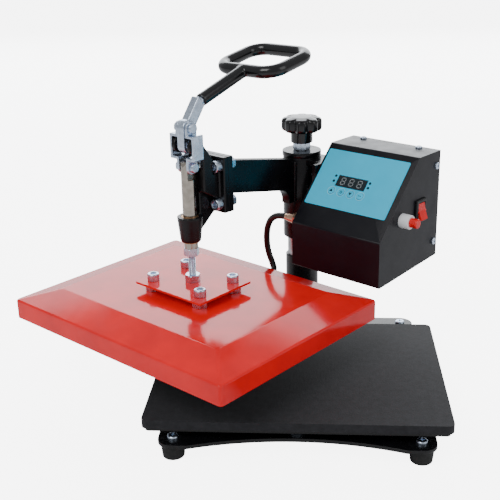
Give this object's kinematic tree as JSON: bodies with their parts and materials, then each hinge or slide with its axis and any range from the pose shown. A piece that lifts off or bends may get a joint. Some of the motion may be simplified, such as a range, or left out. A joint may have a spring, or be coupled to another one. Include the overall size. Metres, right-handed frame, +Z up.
{
  "type": "heat press",
  "caption": "Swing-away heat press: padded lower platen, hinged arm with toggle-driven heated platen, locking post knob and angled control box.",
  "frame": {"origin": "centre of the top face of the silicone pad on the lower platen", "axes": "+Z up, -Y the operator's side (front), +X to the operator's right; the swing post stands on +Y. At rest the arm stands swung 37.4 degrees clockwise seen from above, with the platen raised."},
  "size_m": [0.4743, 0.3881, 0.3641],
  "materials": {
    "base_paint": "gloss black paint",
    "foot_rubber": "matt",
    "zinc_steel": "bright zinc plate",
    "silicone": "matt charcoal silicone foam",
    "ground_steel": "ground",
    "knob_plastic": "gloss phenolic",
    "gloss_black": "gloss black powder coat",
    "bronze": "sintered bronze",
    "box_paint": "satin black powder coat",
    "overlay_teal": "printed polyester film",
    "smoked_glass": "smoked window",
    "digit_grey": "unlit segments",
    "led_dark": "unlit",
    "board_green": "solder mask",
    "switch_black": "moulded",
    "white_plastic": "moulded",
    "nickel_brass": "nickelled brass",
    "cable_black": "silicone sheath",
    "grip_vinyl": "dipped vinyl",
    "chrome_rod": "polished",
    "red_paint": "high gloss red enamel",
    "coated_aluminium": "dark non-stick coating",
    "glass_fibre": "woven glass board",
    "red_plastic": "moulded",
    "key_teal": "domed key"
  },
  "bodies": {
    "base": {"base_plate": "base_paint", "rubber_feet": "foot_rubber", "foot_screws": "zinc_steel", "lower_platen_plate": "base_paint", "silicone_pad": "silicone", "platen_spacers": "zinc_steel", "platen_bolts": "zinc_steel", "post_base_tube": "base_paint", "post_shaft": "ground_steel", "knob_stud": "zinc_steel", "stud_nut": "zinc_steel"},
    "lock_knob": {"lock_knob": "knob_plastic"},
    "arm": {"sleeve": "gloss_black", "sleeve_bushes": "bronze", "sleeve_cap": "gloss_black", "swing_arm": "gloss_black", "toggle_body": "gloss_black", "flange_bolts": "zinc_steel", "flange_nuts": "zinc_steel", "fulcrum_pin": "zinc_steel", "plunger_bush": "bronze", "box_bracket": "gloss_black", "box_shell": "box_paint", "box_rear_panel": "box_paint", "box_screws": "zinc_steel", "panel_overlay": "overlay_teal", "display_window": "smoked_glass", "display_digits": "digit_grey", "indicator_leds": "led_dark", "circuit_board": "board_green", "rocker_bezel": "switch_black", "breaker_body": "white_plastic", "cable_gland": "nickel_brass", "mains_inlet": "switch_black", "heater_cable": "cable_black"},
    "handle": {"handle_lever": "zinc_steel", "handle_bar": "zinc_steel", "handle_grip": "grip_vinyl", "link_pivot_bolt": "zinc_steel"},
    "link": {"link_plates": "zinc_steel", "link_end_bolts": "zinc_steel"},
    "platen": {"plunger_rod": "chrome_rod", "plunger_pin": "zinc_steel", "threaded_stud": "zinc_steel", "stud_nuts": "zinc_steel", "mounting_plate": "red_paint", "plate_screws": "zinc_steel", "standoff_nuts": "zinc_steel", "platen_cover": "red_paint", "heating_element": "ground_steel", "heat_plate": "coated_aluminium", "insulation_board": "glass_fibre", "temperature_sensor": "ground_steel", "cover_grommet": "foot_rubber"},
    "reset_button": {"reset_button": "red_plastic"},
    "power_rocker": {"power_rocker": "red_plastic"},
    "button_up": {"button_up": "key_teal"},
    "button_shift": {"button_shift": "key_teal"},
    "button_down": {"button_down": "key_teal"},
    "button_set": {"button_set": "key_teal"}
  },
  "joints": [
    {"name": "arm_swing", "type": "hinge", "parent": "base", "child": "arm", "pos_m": [0, 0.192, 0.137], "axis": [0, 0, 1], "range_deg": [-52.6, 37.4]},
    {"name": "lock_knob_turn", "type": "hinge", "parent": "base", "child": "lock_knob", "pos_m": [0, 0.192, 0.22], "axis": [0, 0, 1], "range_deg": [0, 270]},
    {"name": "handle_turn", "type": "hinge", "parent": "arm", "child": "handle", "pos_m": [-0.11662, 0.03947, 0.2375], "axis": [0.7944, -0.6074, 0], "range_deg": [0, 180]},
    {"name": "link_turn", "type": "hinge", "parent": "handle", "child": "link", "pos_m": [-0.11662, 0.03947, 0.25625], "axis": [0.7944, -0.6074, 0], "range_deg": [-180, 0]},
    {"name": "plunger_slide", "type": "slide", "parent": "arm", "child": "platen", "axis": [0, 0, -1], "range_m": [0, 0.0375]},
    {"name": "rocker_tilt", "type": "hinge", "parent": "arm", "child": "power_rocker", "pos_m": [0.13496, 0.10015, 0.146], "axis": [0.6074, 0.7944, 0], "range_deg": [0, 14]},
    {"name": "reset_button_press", "type": "slide", "parent": "arm", "child": "reset_button", "axis": [-0.7944, 0.6074, 0], "range_m": [0, 0.0025], "stiffness_N_per_m": 400},
    {"name": "button_up_press", "type": "slide", "parent": "arm", "child": "button_up", "axis": [0.4428, 0.5791, -0.6846], "range_m": [0, 0.0006], "stiffness_N_per_m": 600},
    {"name": "button_shift_press", "type": "slide", "parent": "arm", "child": "button_shift", "axis": [0.4428, 0.5791, -0.6846], "range_m": [0, 0.0006], "stiffness_N_per_m": 600},
    {"name": "button_down_press", "type": "slide", "parent": "arm", "child": "button_down", "axis": [0.4428, 0.5791, -0.6846], "range_m": [0, 0.0006], "stiffness_N_per_m": 600},
    {"name": "button_set_press", "type": "slide", "parent": "arm", "child": "button_set", "axis": [0.4428, 0.5791, -0.6846], "range_m": [0, 0.0006], "stiffness_N_per_m": 600}
  ],
  "couplings": [
    {"joint": "link_turn", "follows": "handle_turn", "ratio": -1},
    {"joint": "plunger_slide", "follows": "handle_turn", "m_per_rad": 0.011937}
  ]
}
